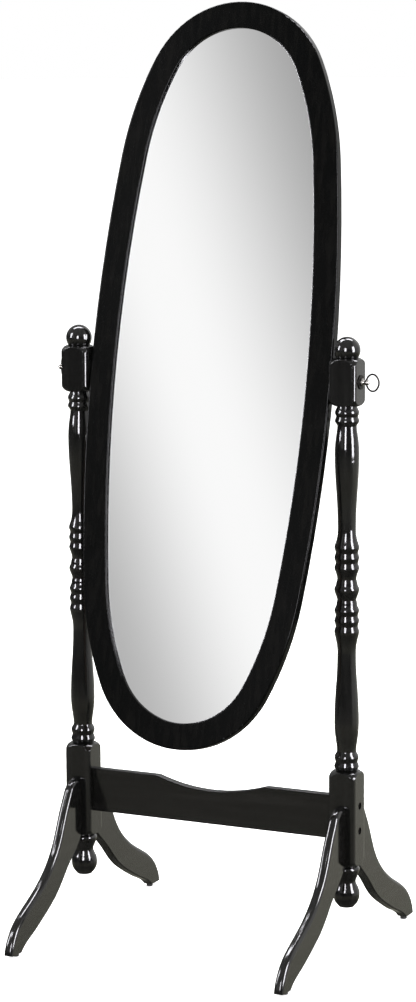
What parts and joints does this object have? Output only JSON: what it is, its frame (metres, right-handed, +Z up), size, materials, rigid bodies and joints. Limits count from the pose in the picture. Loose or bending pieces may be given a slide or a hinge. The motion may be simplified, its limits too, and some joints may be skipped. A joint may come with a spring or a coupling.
{
  "type": "oval cheval floor mirror",
  "caption": "Oval full-length floor mirror that tilts between two turned black posts on scroll feet, with a flat cross rail and ring-pull clamp screws.",
  "frame": {"origin": "floor level, midway between the two posts and between the front and rear feet", "axes": "+Z up, the mirror faces -Y, +X to the right of a viewer who stands in front and faces the mirror"},
  "size_m": [0.6319, 0.574, 1.6677],
  "materials": {
    "black_lacquer": "high-gloss black lacquer on turned and cut wood",
    "mirror_glass": "silvered 4 mm float glass",
    "hardboard": "thin dark hardboard",
    "beech_dowel": "plain beech dowel",
    "foam": "thin dark foam pad",
    "zinc_steel": "zinc plated steel",
    "brass_insert": "plain brass",
    "nickel": "bright nickel plate",
    "dark_metal": "dark gunmetal",
    "glide_plastic": "black nylon"
  },
  "bodies": {
    "stand": {"left_post": "black_lacquer", "right_post": "black_lacquer", "front_left_leg": "black_lacquer", "front_right_leg": "black_lacquer", "rear_left_leg": "black_lacquer", "rear_right_leg": "black_lacquer", "cross_rail": "black_lacquer", "rail_bolts": "zinc_steel", "barrel_nuts": "zinc_steel", "leg_dowels": "beech_dowel", "front_left_glide": "glide_plastic", "front_right_glide": "glide_plastic", "rear_left_glide": "glide_plastic", "rear_right_glide": "glide_plastic", "left_spacer": "black_lacquer", "right_spacer": "black_lacquer"},
    "mirror": {"mirror_frame": "black_lacquer", "mirror_glass": "mirror_glass", "foam_pad": "foam", "backing_board": "hardboard", "backing_screws": "zinc_steel", "left_insert": "brass_insert", "right_insert": "brass_insert"},
    "left_washer_slide": {"left_washer": "dark_metal"},
    "right_washer_slide": {"right_washer": "dark_metal"},
    "left_thumbscrew_turn": {"left_thumbscrew": "nickel"},
    "right_thumbscrew_turn": {"right_thumbscrew": "nickel"},
    "left_pull_ring": {"left_ring": "dark_metal"},
    "right_pull_ring": {"right_ring": "dark_metal"}
  },
  "joints": [
    {"name": "mirror_tilt", "type": "hinge", "parent": "stand", "child": "mirror", "pos_m": [0, 0, 1.02], "axis": [1, 0, 0], "continuous": true},
    {"name": "left_screw_travel", "type": "slide", "parent": "mirror", "child": "left_washer_slide", "axis": [-1, 0, 0], "range_m": [0, 0.0031]},
    {"name": "right_screw_travel", "type": "slide", "parent": "mirror", "child": "right_washer_slide", "axis": [1, 0, 0], "range_m": [0, 0.0031]},
    {"name": "left_thumbscrew_spin", "type": "hinge", "parent": "left_washer_slide", "child": "left_thumbscrew_turn", "pos_m": [-0.288, 0, 1.02], "axis": [-1, 0, 0], "range_deg": [0, 1080]},
    {"name": "right_thumbscrew_spin", "type": "hinge", "parent": "right_washer_slide", "child": "right_thumbscrew_turn", "pos_m": [0.288, 0, 1.02], "axis": [1, 0, 0], "range_deg": [0, 1080]},
    {"name": "left_ring_swing", "type": "hinge", "parent": "left_thumbscrew_turn", "child": "left_pull_ring", "pos_m": [-0.2985, 0, 1.02], "axis": [0, 0, 1], "range_deg": [-30, 170]},
    {"name": "right_ring_swing", "type": "hinge", "parent": "right_thumbscrew_turn", "child": "right_pull_ring", "pos_m": [0.2985, 0, 1.02], "axis": [0, 0, 1], "range_deg": [-100, 100]}
  ],
  "couplings": [
    {"joint": "left_screw_travel", "follows": "left_thumbscrew_spin", "m_per_rad": 0.00015915},
    {"joint": "right_screw_travel", "follows": "right_thumbscrew_spin", "m_per_rad": 0.00015915}
  ]
}
